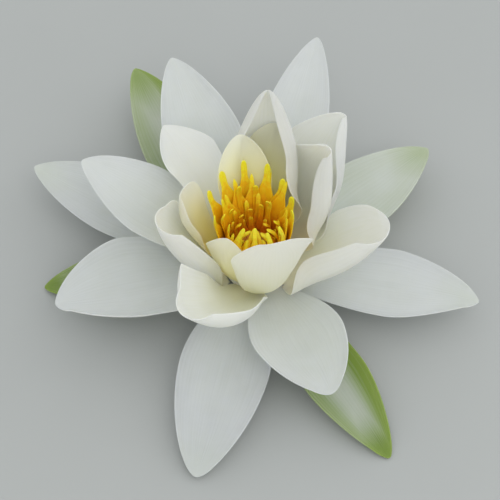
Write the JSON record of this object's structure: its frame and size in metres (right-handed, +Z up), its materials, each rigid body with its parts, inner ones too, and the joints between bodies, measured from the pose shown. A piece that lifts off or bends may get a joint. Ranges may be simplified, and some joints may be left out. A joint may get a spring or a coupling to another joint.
{
  "type": "water lily flower",
  "caption": "Open white water lily flower on a short cut stalk: green-tipped sepals, cupped white petals and golden stamens round a dished stigma.",
  "frame": {"origin": "on the ground under the middle of the flower's extent; the stalk's axis stands 0.9 mm towards +X and 2.6 mm towards -Y of it", "axes": "+Z up along the stalk and the flower's axis; -Y towards the low front petals, +Y towards the raised rear petals, +X to the right seen from the front"},
  "size_m": [0.1199, 0.1251, 0.0475],
  "materials": {
    "stalk": "matte",
    "ovary": "satin",
    "sepal": "satin",
    "petal": "satin",
    "inner_petal": "satin",
    "stamen": "satin"
  },
  "bodies": {
    "root": {"cut_stalk": "stalk", "inner_petal_front": "inner_petal", "inner_petal_front_left": "inner_petal", "inner_petal_left": "inner_petal", "inner_petal_rear": "inner_petal", "inner_petal_rear_right": "inner_petal", "inner_stamen_1": "stamen", "inner_stamen_2": "stamen", "inner_stamen_3": "stamen", "inner_stamen_4": "stamen", "inner_stamen_5": "stamen", "inner_stamen_6": "stamen", "inner_stamen_7": "stamen", "inner_stamen_8": "stamen", "inner_stamen_9": "stamen", "middle_stamen_1": "stamen", "middle_stamen_10": "stamen", "middle_stamen_11": "stamen", "middle_stamen_2": "stamen", "middle_stamen_3": "stamen", "middle_stamen_4": "stamen", "middle_stamen_5": "stamen", "middle_stamen_6": "stamen", "middle_stamen_7": "stamen", "middle_stamen_8": "stamen", "middle_stamen_9": "stamen", "outer_petal_front": "petal", "outer_petal_left": "petal", "outer_petal_rear": "petal", "outer_petal_right": "petal", "outer_stamen_1": "stamen", "outer_stamen_10": "stamen", "outer_stamen_11": "stamen", "outer_stamen_12": "stamen", "outer_stamen_2": "stamen", "outer_stamen_3": "stamen", "outer_stamen_4": "stamen", "outer_stamen_5": "stamen", "outer_stamen_6": "stamen", "outer_stamen_7": "stamen", "outer_stamen_8": "stamen", "outer_stamen_9": "stamen", "ovary": "ovary", "second_petal_front_right": "petal", "second_petal_left": "petal", "second_petal_rear_left": "petal", "second_petal_rear_right": "petal", "sepal_front_right": "sepal", "sepal_left": "sepal", "sepal_rear_left": "sepal", "sepal_rear_right": "sepal", "third_petal_front": "petal", "third_petal_front_left": "petal", "third_petal_left": "petal", "third_petal_rear": "petal", "third_petal_rear_left": "petal", "third_petal_rear_right": "petal", "third_petal_right": "petal"}
  },
  "joints": []
}
